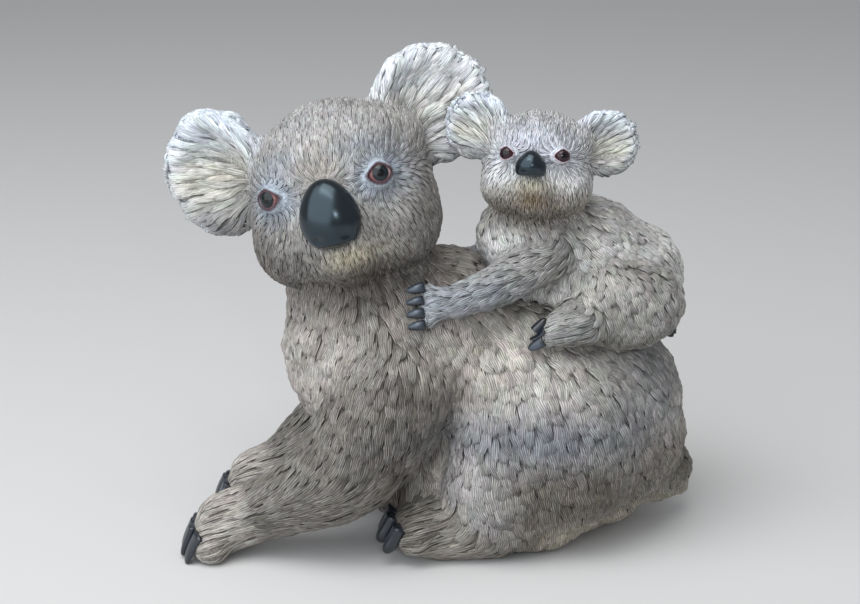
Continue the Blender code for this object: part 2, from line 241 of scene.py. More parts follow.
def carve_face(owner, points, normals):
    """A lip swells under the nose with a crease below it. The mother's face also dips beside her nose."""
    local = on_axes(face_axes[owner], points) * 1000
    if owner == "mother":
        raised = 2.2 * bump(local, (4, -52, -37), (16, 16, 5))
        raised -= 2.0 * bump(local, (2, -50, -45.5), (22, 20, 2.5))
        for side in (-1, 1):
            raised -= 1.2 * bump(local, (side * 21, -45, -18), (4, 12, 14))
    else:
        raised = 1.0 * bump(local, (0, -31, -13), (8, 10, 2.8))
        raised -= 0.9 * bump(local, (0, -30, -17.5), (10, 10, 1.6))
    return points + normals * raised[:, None] / 1000


# -------- how the coat is carved
# The sculptor cut the coat in overlapping locks, each scored with fine grooves: petals on the body, short
# strokes on the heads, long grooves down to the paws, and long deep locks that fan out over the ears.

# In millimetres, for each kind of body part: the coat's depth, the length, width and spacing of its locks,
# the width of the strands that a lock is scored into, and how high their ridges stand.
measures = ("depth", "long", "wide", "apart", "strand", "ridge")
locks = {
    "head": (0.9, 8.5, 3.0, 2.3, 1.15, 0.36), "ear": (1.4, 25.0, 4.4, 4.2, 1.2, 0.5),
    "trunk": (2.1, 15.0, 7.6, 4.7, 1.2, 0.6), "haunch": (2.1, 14.5, 7.6, 4.7, 1.2, 0.6),
    "foreleg": (1.3, 15.0, 6.4, 4.4, 1.4, 0.6), "forepaw": (0.8, 16.0, 3.8, 3.4, 1.3, 0.4),
    "hindfoot": (0.9, 20.0, 4.6, 4.0, 1.5, 0.5), "tail": (1.4, 10.0, 6.0, 4.2, 1.4, 0.5),
}
shares = {"mother": (1, 1, 1, 1, 1, 1), "joey": (0.80, 0.76, 0.76, 0.77, 0.88, 0.80)}
kind_names = sorted(locks)


def kind_of(node):
    return next(kind for kind in kind_names if kind in node)


def lock_size(owner, node, measure):
    """One measure of the locks on that part of that animal, in metres."""
    column = measures.index(measure)
    return locks[kind_of(node)][column] / 1000 * shares[owner][column]


def ear_root(owner, side):
    return Vector((side * 0.030, 0.012, 0.022)) if owner == "mother" else Vector((side * 0.017, 0.007, 0.006))


# The way the coat lies where it is the same all over a part. The last is for the paws and the other feet.
straight_lie = {
    "joey_trunk": (0, 0.75, -1), "mother_haunch": (0, 0.22, -1), "joey_haunch": (0, 0.35, -1),
    "mother_tail": (0, 0.6, -1), "joey_foreleg": (0, -1, -0.40), "joey_hindfoot_right": (0.4, 1, -0.4),
    "": (0, -1, -0.22),
}


def lie_of(owner, node, points):
    """Which way the coat lies on one body part, before it is smoothed over the whole skin."""
    kind, axes = kind_of(node), face_axes[owner]
    if kind == "head":
        local = on_axes(axes, points) / (1.0 if owner == "mother" else 0.58)
        aside = np.clip(local[:, 0] / 0.030, -1, 1)
        rise = smooth_step(-0.006, 0.026, local[:, 2])
        behind = smooth_step(-0.005, 0.040, local[:, 1])
        outward = aside * (0.30 + 1.1 * np.sin(np.pi * rise))
        fan = np.stack([outward, 0.25 + 0 * aside, 2.0 * rise - 1.0 - 1.8 * behind], axis=1)
        return unit(fan) @ np.array(axes)[:3, :3].T
    if kind == "ear":
        side = 1 if node.endswith("left") else -1
        return -unit(np.array(axes @ ear_root(owner, side)) - points)
    if node == "mother_trunk":
        behind = 1 - smooth_step(-0.03, -0.07, points[:, 1])[:, None]
        return unit(np.array([0, 0, -1]) + behind * np.array([0, 0.38, 0]))
    if node.startswith("mother_foreleg"):
        low = smooth_step(0.085, 0.040, points[:, 2])[:, None]
        return unit((1 - low) * np.array([0, -0.10, -1]) + low * np.array([0, -1, -0.42]))
    way = next(way for start, way in straight_lie.items() if node.startswith(start))
    return unit(np.array(way)) + 0 * points


# -------- the paint
# A warm grey base coat was washed dark in the grooves and brushed off-white on the ridges, then tinted by
# airbrush: pale blue about the eyes and the ears' rims, cream in the ears, cream and slate over the haunch,
# brown underneath. Light and shade are painted in too: painted shade where the joey faces down, in the
# mother's flank crease, on her right cheek, in the ears' valleys and partly at the locks' roots, and painted
# light near the floor, on her left ear and as a highlight along each claw.


def paint(shade):
    """A paint from its hex name, as linear light."""
    parts = np.array([int(shade[i:i + 2], 16) for i in (0, 2, 4)]) / 255
    return np.where(parts <= 0.04045, parts / 12.92, ((parts + 0.055) / 1.055) ** 2.4)


base_coats = {
    "mother": dict(
        head="aeaba8", ear="ebf0f7", trunk="b0aaa4", haunch="adaaa8", foreleg="75706a", forepaw="aba59e",
        hindfoot="979189", tail="7f7d78",
    ),
    "joey": dict(
        head="bfbcb6", ear="d0d8e0", trunk="dcdbd9", haunch="aaa8a4", foreleg="a09f9d", forepaw="a3a8ad",
        hindfoot="9b9b99",
    ),
}


def airbrush(colours, amount, shade):
    """Lays a shade over the colours, by amount from 0 to 1 at each point."""
    return colours + np.clip(amount, 0, 1)[:, None] * (paint(shade) - colours)


def sprayed(colours, points, spots):
    """Soft spots laid one after another: shade, amount, and place and reach in millimetres."""
    for shade, amount, place, reach in spots:
        colours = airbrush(colours, amount * bump(points * 1000, place, reach), shade)
    return colours


def tint_mother(colours, points):
    """Pale blue about the eyes, cream and slate over the haunch, brown underneath, painted shade on the right
    cheek and in the flank's crease, and painted light near the floor.
    """
    local = on_axes(face_axes["mother"], points)
    faced = smooth_step(0.010, -0.010, local[:, 1])
    colours = sprayed(colours, local, (
        ("c2c3c6", 0.55, (0, -30, 45), (50, 50, 25)),
        ("c9c1ba", 0.80, (0, -48, 16), (13, 30, 20)),
    ))
    for side in (1, -1):
        colours = sprayed(colours, local, (
            # Dark paint on both cheeks, with painted shade making the right one darker than the left.
            ("5a534d", 0.75 - 0.22 * side, (side * 60, -14, -24), (34, 60, 38)),
            ("a3b5c8", 0.95 * faced, (side * 35, -44, 10), (15, 30, 13)),
            ("c6d2e0", 0.60 * faced, (side * 24, -44, 4), (7, 30, 6)),
            ("808b98", 0.55 * faced, (side * 26, -44, 28), (18, 30, 6)),
        ))
    colours = sprayed(colours, local, (
        ("e2d9bd", 1.1 * faced, (8, -52, -34), (17, 30, 6.5)),
        ("85765c", 0.70 * faced, (12, -47, -45), (22, 30, 6)),
        ("463e38", 0.95, (0, -35, -55), (60, 50, 21)),
    ))
    x, y, z = points.T
    colours = sprayed(colours, points[:, 1:], (
        ("cdc6bf", 0.60, (-85, 132), (35, 18)),
        # Painted shade: dark brown low on the flank, in the crease between foreleg and haunch.
        ("554d45", 0.80, (-30, 45), (16, 45)),
        ("dcd6cb", 0.78, (20, 125), (35, 18)),
        ("d6d2ca", 0.80, (80, 125), (40, 22)),
        ("727985", 0.80, (55, 81), (60, 14)),
        ("7d848b", 0.55, (125, 110), (30, 40)),
    ))
    brown = smooth_step(0.078, 0.050, z) * smooth_step(0.02, 0.05, y)
    colours = airbrush(colours, (0.92 - 0.25 * smooth_step(0.09, 0.12, y)) * brown, "6a6359")
    # Painted light: paler near the floor, to lift the shade that falls there.
    painted_light_near_ground = smooth_step(0.035, 0.010, z) * smooth_step(0.04, 0.07, y)
    colours = airbrush(colours, 0.95 * painted_light_near_ground, "c3bbab")
    saddle = bump(points[:, 1:], (-0.02, 0.155), (0.05, 0.02))
    return airbrush(colours, 0.25 * saddle * smooth_step(-0.005, 0.02, x), "7d766f")


def ear_lobes(owner, points, parts, nodes):
    """Where the broad lobes that spread from the ears' roots sink into the valleys between them."""
    valley = np.zeros(len(points))
    size = 1.0 if owner == "mother" else 0.55
    for node in nodes:
        if "_ear_" in node:
            own = parts == nodes.index(node)
            side = 1 if node.endswith("left") else -1
            away = on_axes(face_axes[owner], points[own]) - np.array(ear_root(owner, side))
            reach = np.linalg.norm(away[:, [0, 2]], axis=1) / size
            turn = np.arctan2(away[:, 2], side * away[:, 0]) + 0.07 * np.sin(reach * 130 + 2 * side)
            wave = np.abs(np.sin(turn * 10.5))
            valley[own] = (1 - wave) ** 1.6 * smooth_step(0.008, 0.030, reach)
    return valley


def tint_ears(owner, colours, points, normals, parts, nodes):
    """Cream in the hollow of each ear and bluish white at its rim, and painted light on the front of the
    mother's left ear.
    """
    axes, size = face_axes[owner], 0.038 if owner == "mother" else 0.0205
    for node in nodes:
        if "_ear_" not in node:
            continue
        own = parts == nodes.index(node)
        local = on_axes(axes, points[own]) - on_axes(axes, np.array(middle(node)))
        out = np.linalg.norm(local[:, [0, 2]], axis=1) / size
        front = smooth_step(0.3, -0.1, normals[own] @ np.array(axes)[:3, 1])
        height = local[:, 2] / size
        hollow = np.exp(-(((height + 0.15) / 0.55) ** 2)) * front * smooth_step(1.05, 0.45, out)
        tinted = airbrush(colours[own], front * smooth_step(-0.1, 0.6, height), "edf6ff")
        tinted = airbrush(tinted, 0.85 * hollow, "ddd9c6")
        tinted = airbrush(tinted, 0.60 * smooth_step(0.75, 1.0, out), "e4f0ff")
        tinted = airbrush(tinted, 0.80 * front * smooth_step(-0.15, -0.75, height), "94938f")
        tinted = airbrush(tinted, 0.55 * (1 - front) * smooth_step(0.95, 0.75, out), "8f949a")
        # Painted light: the front of the mother's left ear is made paler than the right.
        if node == "mother_ear_left":
            tinted = airbrush(tinted, 0.45 * front, "fbfcff")
        colours[own] = tinted
    return colours


def tint_joey(colours, points, normals):
    """A pale mask, a brown chin, and painted shade on all that faces down."""
    local = on_axes(face_axes["joey"], points)
    faced = smooth_step(0.006, -0.006, local[:, 1])
    colours = sprayed(colours, local, (
        ("c6cbd8", 0.60, (0, -18, 18), (34, 40, 18)),
        ("cdd2de", 0.95 * faced, (0, -26, 9), (30, 25, 16)),
    ))
    for side in (1, -1):
        colours = sprayed(colours, local, (
            ("d3dae4", 0.8 * faced, (side * 18, -26, 4), (9, 20, 6)),
            ("7f7d6c", 0.25, (side * 31, -8, -12), (12, 30, 12)),
            ("eeeff2", 0.85, (side * 22, -22, -6), (15, 30, 8)),
        ))
    colours = sprayed(colours, local, (
        ("958c82", 1.0, (0, -12, -24), (45, 45, 11)),
        ("cfc9b2", 0.9 * faced, (0, -30, -11), (11, 20, 5)),
        ("8a7558", 1.0 * faced, (0, -30, -19), (10, 20, 6)),
        ("665e56", 0.75, (0, -16, -32), (30, 40, 7)),
    ))
    # Painted shade: darker on all that faces down.
    colours = airbrush(colours, 0.55 * smooth_step(-0.2, -0.8, normals[:, 2]), "6b6459")
    return sprayed(colours, points[:, 1:], (
        ("98a3b2", 0.50, (18, 166), (28, 12)),
        ("cfcdc6", 0.45, (85, 170), (25, 12)),
    ))


def plain_paint(name, sockets, marked=False):
    """A paint with those values on its shader, coloured by the marking of its meshes where it is marked."""
    material = bpy.data.materials.new(name)
    material.use_nodes = True
    surface = material.node_tree.nodes["Principled BSDF"]
    for socket, value in sockets.items():
        surface.inputs[socket].default_value = value
    if marked:
        marking = material.node_tree.nodes.new("ShaderNodeAttribute")
        marking.attribute_name = "marking"
        material.node_tree.links.new(marking.outputs["Color"], surface.inputs["Base Color"])
    return material


def resin_paint(name):
    """Matt paint over carved resin: marking is its colour, carve is 0 in a groove and 1 on a ridge."""
    material = plain_paint(name, {"Roughness": 0.62, "Specular IOR Level": 0.38})
    nodes, links = material.node_tree.nodes, material.node_tree.links
    surface = nodes["Principled BSDF"]

    def attribute(label):
        node = nodes.new("ShaderNodeAttribute")
        node.attribute_name = label
        return node

    def mix(kind, factor, first, second):
        node = nodes.new("ShaderNodeMix")
        node.data_type = "RGBA"
        node.blend_type = kind
        for label, value in (("Factor", factor), ("A", first), ("B", second)):
            if isinstance(value, bpy.types.NodeSocket):
                links.new(value, node.inputs[label])
            else:
                node.inputs[label].default_value = value
        node.clamp_result = True
        return node.outputs["Result"]

    def ramp(value, *stops):
        node = nodes.new("ShaderNodeValToRGB")
        links.new(value, node.inputs["Fac"])
        first, last = node.color_ramp.elements
        first.position, first.color = stops[0][0], (*[stops[0][1]] * 3, 1)
        last.position, last.color = stops[-1][0], (*[stops[-1][1]] * 3, 1)
        for place, level in stops[1:-1]:
            node.color_ramp.elements.new(place).color = (*[level] * 3, 1)
        return node.outputs["Color"]

    def noise(scale, detail, vector=None):
        node = nodes.new("ShaderNodeTexNoise")
        node.inputs["Scale"].default_value = scale
        node.inputs["Detail"].default_value = detail
        links.new(vector or nodes.new("ShaderNodeTexCoord").outputs["Object"], node.inputs["Vector"])
        return node.outputs["Fac"]

    marking = attribute("marking").outputs["Color"]
    carve = attribute("carve").outputs["Fac"]
    grain = attribute("grain").outputs["Vector"]
    blotch = ramp(noise(55, 3), (0.30, 0.80), (0.70, 1.12))
    colour = mix("MULTIPLY", 1.0, marking, blotch)
    wash = ramp(carve, (0.0, 0.18), (0.30, 0.42), (0.62, 1.0))
    colour = mix("MULTIPLY", 1.0, colour, wash)
    hairs = noise(1.0, 2, grain)
    colour = mix("MULTIPLY", 1.0, colour, ramp(hairs, (0.35, 0.58), (0.65, 1.20)))
    hair_streak_and_painted_claw_highlight = ramp(hairs, (0.35, 0.2), (0.65, 1.0))
    brushed = mix("MULTIPLY", 1.0, ramp(carve, (0.58, 0.0), (0.90, 0.85)), hair_streak_and_painted_claw_highlight)
    colour = mix("SCREEN", brushed, colour, (0.25, 0.245, 0.235, 1))
    links.new(colour, surface.inputs["Base Color"])
    relief = nodes.new("ShaderNodeBump")
    relief.inputs["Strength"].default_value = 0.55
    relief.inputs["Distance"].default_value = 0.0004
    links.new(hairs, relief.inputs["Height"])
    links.new(relief.outputs["Normal"], surface.inputs["Normal"])
    return material


coat_paint = resin_paint("carved_coat_paint")


def give(mesh, name, kind, values):
    """Stores values on a mesh's vertices for its paint to read."""
    layer = mesh.attributes.new(name, kind, "POINT")
    word = {"FLOAT": "value", "FLOAT_VECTOR": "vector", "FLOAT_COLOR": "color"}[kind]
    if kind == "FLOAT_COLOR":
        values = np.concatenate([values, np.ones((len(values), 1))], axis=1)
    layer.data.foreach_set(word, np.asarray(values, dtype=np.float32).ravel())


skins = {}


def cast_skin(owner, grain, smoothing, finer):
    """Fuses, paints and carves one animal's skin, and notes in skins what its coat needs to know."""
    nodes = flesh_of(owner)
    obj = fused(owner + "_skin", nodes + [eye["node"] for eye in eyes[owner]], grain, smoothing)
    made_finer(obj, finer)
    mesh = obj.data
    points, normals = read(mesh.vertices, "co"), read(mesh.vertices, "normal")
    edges = read(mesh.edges, "vertices", 2, np.int32)
    parts = nearest_part(points, nodes)
    sizes = {}
    for measure in measures:
        per_part = np.array([lock_size(owner, node, measure) for node in nodes])
        sizes[measure] = blurred(per_part[parts], edges, 14)
    lie, colours = np.zeros_like(points), np.zeros_like(points)
    for number, node in enumerate(nodes):
        own = parts == number
        if own.any():
            lie[own] = lie_of(owner, node, points[own])
            colours[own] = paint(base_coats[owner][kind_of(node)])
    lie -= (lie * normals).sum(axis=1, keepdims=True) * normals
    lie = blurred(lie, edges, 24)
    for eye in eyes[owner]:
        _, _, w, q, _ = eye_opening(eye, points)
        beside = smooth_step(3.4, 1.6, q) * (w > -0.6 * eye["radius"])
        out = unit(points - eye["centre"])
        out = unit(out - (out * normals).sum(axis=1, keepdims=True) * normals)
        lie = unit(lie) * (1 - beside)[:, None] + out * beside[:, None]
    colours = tint_ears(owner, colours, points, normals, parts, nodes)
    colours = blurred(colours, edges, 8)
    on_head = np.array([kind_of(node) == "head" for node in nodes])[parts]
    if owner == "mother":
        colours = tint_mother(colours, points)
    else:
        colours = tint_joey(colours, points, normals)
    valley = ear_lobes(owner, points, parts, nodes)
    # Painted shade: darker in the valleys between the ears' lobes.
    colours = airbrush(colours, 0.35 * valley, "74797c")
    lobes = 0.0017 if owner == "mother" else 0.0010
    sunk = sizes["depth"] + 0.0002 + lobes * (valley - 0.25 * (valley > 0))
    points = points - normals * blurred(sunk, edges, 1)[:, None]
    points = carve_face(owner, points, normals)
    no_eye_near = 9.0
    bare = np.full(len(points), no_eye_near)
    for eye in eyes[owner]:
        points = carve_lids(points, eye)
        u, v, w, q, _ = eye_opening(eye, points)
        around = (w > -0.3 * eye["radius"]) & (np.hypot(u, v) < 3 * eye["radius"])
        bare = np.where(around, np.minimum(bare, q), bare)
    points[:, 2] = np.maximum(points[:, 2], 0.0002)
    mesh.vertices.foreach_set("co", points.ravel())
    mesh.update()
    mesh.shade_smooth()
    rim = np.clip(1.3 - np.abs(bare - 1.06) / 0.13, 0, 1)
    colours = airbrush(colours, 0.88 * rim, eye_shapes[owner]["lid_line"])
    colours = airbrush(colours, 0.35 * np.clip(1 - np.abs(bare - 1.30) / 0.12, 0, 1), "cfdcea")
    give(mesh, "marking", "FLOAT_COLOR", colours)
    give(mesh, "carve", "FLOAT", np.where(bare < 1.6, 0.62, 0.40 + 0.08 * on_head))
    hairs_per_metre = 900
    give(mesh, "grain", "FLOAT_VECTOR", points * hairs_per_metre)
    mesh.materials.append(coat_paint)
    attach(obj, "root")
    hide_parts(*nodes)
    normals = read(mesh.vertices, "normal")
    tris = triangles_of(mesh)
    skins[owner] = dict(
        nodes=nodes, parts=parts, points=points, normals=normals, tris=tris, sizes=sizes, lie=unit(lie),
        colours=colours, bare=bare, tree=BVHTree.FromPolygons(points.tolist(), tris.tolist()),
    )


def face_spots(owner, wide, nose, close):
    """Where the skin is made finer: wide round the eyes, then round the nose, then close round the eyes."""
    centres = [Vector(eye["centre"]) for eye in eyes[owner]]
    return [(c, wide) for c in centres] + [(middle(owner + "_nose"), nose)] + [(c, close) for c in centres]


cast_skin("mother", 0.0024, 8, face_spots("mother", 0.024, 0.045, 0.016))
cast_skin("joey", 0.0017, 7, face_spots("joey", 0.013, 0.018, 0.009))

# -------- the carved coat
# Every lock is a thin closed sliver of resin that rises from the skin at its root and lies over the next
# ones. Its top is scored into strands, and its colours are those of the skin it stands on.


def seeds_on(skin, wanted, rng):
    """Roots spread evenly over the faces where wanted is true: their places, and the faces they stand on."""
    tris = skin["tris"]
    corners = skin["points"][tris]
    area = np.linalg.norm(np.cross(corners[:, 1] - corners[:, 0], corners[:, 2] - corners[:, 0]), axis=1) / 2
    apart = skin["sizes"]["apart"][tris].mean(axis=1)
    weight = np.where(wanted, area / apart**2, 0)
    count = int(weight.sum() * 5)
    faces = rng.choice(len(tris), count, p=weight / weight.sum())
    a, b = rng.random(count), rng.random(count)
    flip = a + b > 1
    a[flip], b[flip] = 1 - a[flip], 1 - b[flip]
    places = corners[faces, 0] + a[:, None] * (corners[faces, 1] - corners[faces, 0])
    places += b[:, None] * (corners[faces, 2] - corners[faces, 0])
    tree = KDTree(count)
    for number, place in enumerate(places.tolist()):
        tree.insert(place, number)
    tree.balance()
    free = np.ones(count, dtype=bool)
    kept = []
    gaps = apart[faces]
    for number, place in enumerate(places.tolist()):
        if free[number]:
            kept.append(number)
            for _, near, _ in tree.find_range(place, gaps[number]):
                free[near] = False
    return places[kept], faces[kept]


def laid_flat(points, normals, low, high):
    """The skin unfolded into six panels, one for each way that it can face, two rows of three."""
    way = np.abs(normals).argmax(axis=1)
    positive = normals[np.arange(len(normals)), way] > 0
    share = (points - low) / (high - low)
    across = np.where(way == 0, share[:, 1], share[:, 0])
    up = np.where(way == 2, share[:, 1], share[:, 2])
    return np.stack([(way + 0.03 + 0.94 * across) / 3, (positive + 0.03 + 0.94 * up) / 2], axis=1)


def combed(skin, places, faces, lengths, rows, curl, over_edge):
    """Rows of points on the skin from each root along the coat, with the normal, way and colour there.

    A lock that reaches an edge, where the skin turns away by more than over_edge allows, ends just past it.
    """
    tree, tris = skin["tree"], skin["tris"]
    face_normals = unit(skin["normals"][tris].mean(axis=1))
    face_lie = unit(skin["lie"][tris].mean(axis=1))
    face_colours = skin["colours"][tris].mean(axis=1)
    here, at = places.copy(), faces.copy()
    heading = None
    path, ups, ways, tones = [], [], [], []
    first = face_normals[faces]
    past = np.zeros(len(places), dtype=bool)
    normal = first
    for row in range(rows + 1):
        past = past | ((face_normals[at] * first).sum(axis=1) < over_edge)
        normal = np.where(past[:, None], normal, face_normals[at])
        lie = face_lie[at]
        heading = lie if heading is None else unit(heading * 0.55 + lie * 0.45)
        heading = unit(heading - (heading * normal).sum(axis=1, keepdims=True) * normal)
        aside = np.cross(normal, heading)
        angle = curl[:, None] * (row / rows - 0.35)
        way = unit(heading * np.cos(angle) + aside * np.sin(angle))
        path.append(here)
        ups.append(normal)
        ways.append(way)
        tones.append(face_colours[at])
        target = here + way * (lengths / rows * np.where(past, 0.25, 1.0))[:, None]
        found = [tree.find_nearest(p) for p in target.tolist()]
        here = np.where(past[:, None], target, np.array([hit[0] for hit in found]))
        at = np.array([hit[2] for hit in found])
    return np.stack(path, 1), np.stack(ups, 1), np.stack(ways, 1), np.stack(tones, 1)


def sag_at(tree, points, normals):
    """How far above those points the skin lies, along their normals."""
    found = np.array([tree.find_nearest(p)[0] for p in points.reshape(-1, 3).tolist()])
    return ((found.reshape(points.shape) - points) * normals).sum(axis=-1)


def lock_meshes(skin, places, faces, strands, rows, shape, rng):
    """Arrays of vertices, faces and paint values for all those locks."""
    count = len(places)
    sizes = {name: size[skin["tris"][faces]].mean(axis=1) for name, size in skin["sizes"].items()}
    length = sizes["long"] * shape.get("long", 1) * rng.uniform(0.82, 1.18, count)
    width = sizes["wide"] * shape.get("wide", 1) * rng.uniform(0.85, 1.15, count)
    drift = np.sin(places[:, 1] * 160 + places[:, 2] * 90) * np.cos(places[:, 2] * 130 - places[:, 0] * 75)
    curl = shape["curl"] * (0.6 * drift + rng.uniform(-0.6, 0.6, count))
    path, up, way, tone = combed(skin, places, faces, length, rows, curl, shape.get("over_edge", -0.3))
    aside = np.cross(up, way)
    t = np.linspace(0, 1, rows + 1)
    swell = np.interp(t, [0, 0.2, 0.55, 0.85, 1], shape["outline"])
    half = width[:, None] / 2 * swell
    columns = 2 * strands + 1
    x = np.linspace(-1, 1, columns)
    left = sag_at(skin["tree"], path - aside * half[..., None], up)
    right = sag_at(skin["tree"], path + aside * half[..., None], up)
    limit = 0.45 * half
    left, right = np.clip(left, -limit, limit), np.clip(right, -limit, limit)
    bend, slope = (left + right) / 2, (right - left) / 2
    tip = (sizes["depth"] * rng.uniform(0.80, 1.15, count))[:, None]
    sunk = 0.0006
    lift = (tip + sunk) * smooth_step(0, 0.75, t) - sunk - tip * shape["drop"] * smooth_step(0.7, 1.0, t)
    crown = shape["crown"] * tip * np.sin(np.pi * np.clip(t * 1.05, 0, 1)) ** 0.7
    ridge_size = sizes["ridge"][:, None] * np.interp(t, [0, 0.25, 0.8, 1], [0.2, 1, 1, 0.8])
    on_ridge = (np.arange(columns) % 2).astype(float)
    uneven = 1 + 0.35 * rng.uniform(-1, 1, (count, 1, columns))
    height = lift[..., None] + crown[..., None] * (1 - x**2) + ridge_size[..., None] * on_ridge * uneven
    height += bend[..., None] * x**2 + slope[..., None] * x
    height[..., [0, -1]] -= (shape["side"] * (0.0005 + 0.6 * np.maximum(lift, 0)))[..., None]
    reach = np.zeros((count, rows + 1, columns))
    ragged = shape["ragged"] * on_ridge * rng.uniform(0.1, 1.6, (count, columns))
    reach[:, -1] = length[:, None] * (ragged - 0.03)
    reach[:, -2] = length[:, None] * 0.4 * ragged
    reach[:, -1] += half[:, -1:] * shape["round"] * (1 - x**2)
    reach[:, -2] += 0.5 * half[:, -2:-1] * shape["round"] * (1 - x**2)
    wander = shape["wander"] * np.sin(t * rng.uniform(3, 7, (count, 1)) + rng.uniform(0, 6.3, (count, 1))) * t
    spread = half[..., None] * (x + wander[..., None] * (1 - 0.5 * x**2))
    points = path[:, :, None] + aside[:, :, None] * spread[..., None]
    points += way[:, :, None] * reach[..., None] + up[:, :, None] * height[..., None]
    points[..., 2] = np.maximum(points[..., 2], 0.0001)
    carve = np.where(on_ridge > 0, shape.get("crest", 0.92), shape.get("valley", 0.30)) + 0 * points[..., 0]
    # The wash is darkest at the root, partly as painted shade under the lock that lies over it.
    carve *= np.interp(t, [0, 0.3, 0.75, 1], [shape.get("root", 0.3), 0.85, 1, 1])[None, :, None]
    carve *= rng.uniform(0.82, 1.08, (count, 1, 1)) * (1 + 0.15 * rng.uniform(-1, 1, (count, 1, columns)))
    carve[..., [0, -1]] *= 0.8
    tint = rng.uniform(0.84, 1.16, (count, 1, 1)) * (1 + 0.03 * rng.uniform(-1, 1, (count, 1, 3)))
    marking = np.clip(tone * tint, 0, 1)[:, :, None] + np.zeros((1, 1, columns, 1))
    offset = rng.uniform(0, 300, (count, 1, 1, 2))
    grain = np.zeros((*points.shape[:3], 3))
    hairs_across, hairs_along = 1500, 150
    grain[..., 0] = half[..., None] * x * hairs_across + offset[..., 0]
    grain[..., 1] = (length[:, None] * t)[..., None] * hairs_along + offset[..., 1]
    low, high = skin["points"].min(axis=0), skin["points"].max(axis=0)
    root_uv = laid_flat(places, skin["normals"][skin["tris"][faces]].mean(axis=1), low, high)
    patch = 0.003
    uv = np.zeros((*points.shape[:3], 2))
    uv[..., 0] = root_uv[:, 0, None, None] + patch * 0.5 * x
    uv[..., 1] = root_uv[:, 1, None, None] + patch * (t[None, :, None] - 0.5)
    quads, ends = [], []
    for r in range(rows):
        a = r * columns
        for c in range(columns - 1):
            quads.append((a + c, a + c + 1, a + columns + c + 1, a + columns + c))
        quads.append((a + columns - 1, a, a + columns, a + 2 * columns - 1))
    ends.append(tuple(range(columns - 1, -1, -1)))
    ends.append(tuple(rows * columns + c for c in range(columns)))
    return dict(
        points=points.reshape(-1, 3), carve=carve.reshape(-1), marking=marking.reshape(-1, 3),
        grain=grain.reshape(-1, 3), uv=uv.reshape(-1, 2), quads=np.array(quads), ends=np.array(ends),
        count=count, each=(rows + 1) * columns,
    )


def placed(name, mesh, material, slot, *replaced):
    """Makes a mesh one smooth painted piece, in place of any rough solids named."""
    mesh.shade_smooth()
    mesh.materials.append(material)
    obj = bpy.data.objects.new(name, mesh)
    bpy.context.scene.collection.objects.link(obj)
    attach(obj, "root")
    if replaced:
        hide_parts(*replaced)


def lock_object(name, batches, slot):
    """One piece made of all the locks in those batches."""
    start, corners, sizes = 0, [], []
    for batch in batches:
        step = (np.arange(batch["count"]) * batch["each"] + start)[:, None, None]
        for faces in (batch["quads"], batch["ends"]):
            corners.append((step + faces[None]).reshape(-1))
            sizes.append(np.full(batch["count"] * len(faces), faces.shape[1]))
        start += batch["count"] * batch["each"]
    corners, sizes = np.concatenate(corners), np.concatenate(sizes)
    mesh = bpy.data.meshes.new(name)
    mesh.vertices.add(start)
    mesh.vertices.foreach_set("co", np.concatenate([b["points"] for b in batches]).ravel())
    mesh.loops.add(len(corners))
    mesh.loops.foreach_set("vertex_index", corners.astype(np.int32))
    mesh.polygons.add(len(sizes))
    mesh.polygons.foreach_set("loop_start", (np.cumsum(sizes) - sizes).astype(np.int32))
    mesh.polygons.foreach_set("loop_total", sizes.astype(np.int32))
    mesh.update(calc_edges=True)
    for label, kind in (("carve", "FLOAT"), ("marking", "FLOAT_COLOR"), ("grain", "FLOAT_VECTOR")):
        give(mesh, label, kind, np.concatenate([b[label] for b in batches]))
    layer = mesh.uv_layers.new(name="OFBake")
    uv = np.concatenate([b["uv"] for b in batches])[corners]
    layer.data.foreach_set("uv", uv.astype(np.float32).ravel())
    placed(name, mesh, coat_paint, slot)


# How each kind of lock is cut. outline is its width from root to tip; crown and side are how it bulges and
# turns down at its edges; curl and wander are how it and its strands bend; drop, round and ragged shape its
# tip. root, valley and crest are how deep its paint is washed and how high it is brushed; the dark wash at
# the root is partly painted shade under the lock that lies over it.
petal = dict(
    root=0.5, curl=1.15, crown=0.30, round=0.35, drop=0.46, side=0.35, ragged=0.16, wander=0.30,
    outline=[0.70, 0.95, 1.0, 0.80, 0.36],
)
wisp = dict(petal, curl=0.80, crown=0.15, round=0.25, drop=0.55, outline=[0.60, 0.90, 1.0, 0.80, 0.36])
stroke = dict(
    wisp, root=0.6, curl=0.40, round=0.20, drop=0.85, side=0.30, ragged=0.22, wander=0.20,
    outline=[0.60, 0.90, 1.0, 0.80, 0.45],
)
fan_lock = dict(
    root=0.68, valley=0.56, crest=0.86, over_edge=0.35, curl=0.45, crown=0.35, round=0.35, drop=0.35,
    side=0.60, ragged=0.05, wander=0.25, outline=[0.40, 0.70, 1.0, 1.0, 0.55],
)
groove = dict(
    stroke, curl=0.16, crown=0.06, round=0.10, drop=0.75, ragged=0.14, wander=0.14,
    outline=[0.60, 0.90, 1.0, 0.85, 0.45],
)
long_groove = dict(groove, valley=0.40, long=1.3, wide=0.7, drop=0.7, curl=0.25)

# The cut for each kind of body part, and how many rows of faces a lock has.
lock_kinds = {
    "head": (stroke, 4), "ear": (fan_lock, 8), "trunk": (petal, 6), "haunch": (petal, 6),
    "foreleg": (wisp, 6), "forepaw": (groove, 6), "hindfoot": (groove, 7), "tail": (petal, 5),
}


def hidden(places, normals, other):
    """True for a root that lies against the other animal, where nothing can be seen."""
    tree, result = other["tree"], []
    for place, direction in zip((places + normals * 0.0025).tolist(), normals.tolist()):
        ahead, near = tree.ray_cast(place, direction, 0.006), tree.find_nearest(place, 0.010)
        behind_it = ahead[0] is not None and Vector(direction).dot(ahead[1]) > 0
        inside_it = near[0] is not None and (Vector(place) - near[0]).dot(near[1]) < 0
        result.append(behind_it or inside_it)
    return np.array(result)


